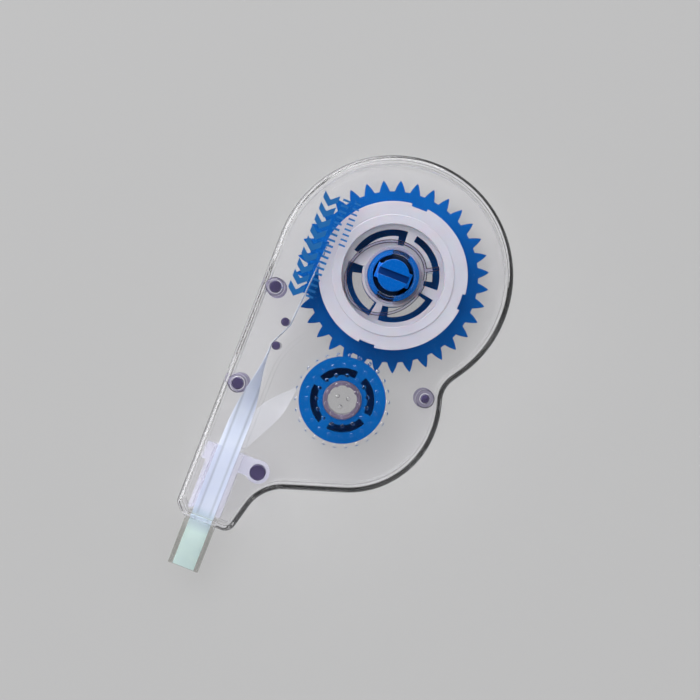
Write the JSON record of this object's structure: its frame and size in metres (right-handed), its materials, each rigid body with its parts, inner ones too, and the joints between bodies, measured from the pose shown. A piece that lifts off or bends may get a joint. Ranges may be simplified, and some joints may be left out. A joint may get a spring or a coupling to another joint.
{
  "type": "correction tape roller",
  "caption": "Flat clear two-lobed housing with a blue gear, a white supply spool, a blue take-up spool and a narrow applicator tip that lays correction tape.",
  "frame": {"origin": "middle of the plan on the back face, with the roller lying on its back", "axes": "+Z out of the printed front face, -Y towards the applicator tip, +X towards the side opposite the straight edge"},
  "size_m": [0.0526, 0.1034, 0.013],
  "materials": {
    "clear_shell": "clear polystyrene, polished",
    "blue_plastic": "moulded, satin",
    "spool_plastic": "moulded, satin, slightly lavender white",
    "correction_tape": "white coated tape, edge of the winding",
    "clear_spring": "clear flexible plastic",
    "spent_film": "thin clear carrier film",
    "milky_plastic": "translucent, milky",
    "tip_plastic": "clear, slightly smoky, flexible"
  },
  "bodies": {
    "housing": {"back_shell": "clear_shell", "front_shell": "clear_shell", "tip_holder": "milky_plastic", "applicator_tip": "tip_plastic", "tape_supply_run": "correction_tape", "carrier_return_run": "spent_film"},
    "gear": {"supply_gear": "blue_plastic", "tension_knob": "blue_plastic", "clutch_spring": "clear_spring"},
    "supply": {"supply_spool": "spool_plastic", "tape_supply_roll": "correction_tape"},
    "take_up": {"take_up_spool": "blue_plastic", "spent_carrier_roll": "spent_film"}
  },
  "joints": [
    {"name": "supply_gear_turn", "type": "hinge", "parent": "housing", "child": "gear", "pos_m": [0, 0.0254, 0.0065], "axis": [0, 0, 1], "continuous": true},
    {"name": "supply_spool_slip", "type": "hinge", "parent": "gear", "child": "supply", "pos_m": [0, 0.0254, 0.0065], "axis": [0, 0, 1], "continuous": true},
    {"name": "take_up_turn", "type": "hinge", "parent": "housing", "child": "take_up", "pos_m": [-0.0005, -0.0042, 0.0065], "axis": [0, 0, 1], "continuous": true}
  ],
  "couplings": [
    {"joint": "take_up_turn", "follows": "supply_gear_turn", "ratio": -2.3333}
  ]
}
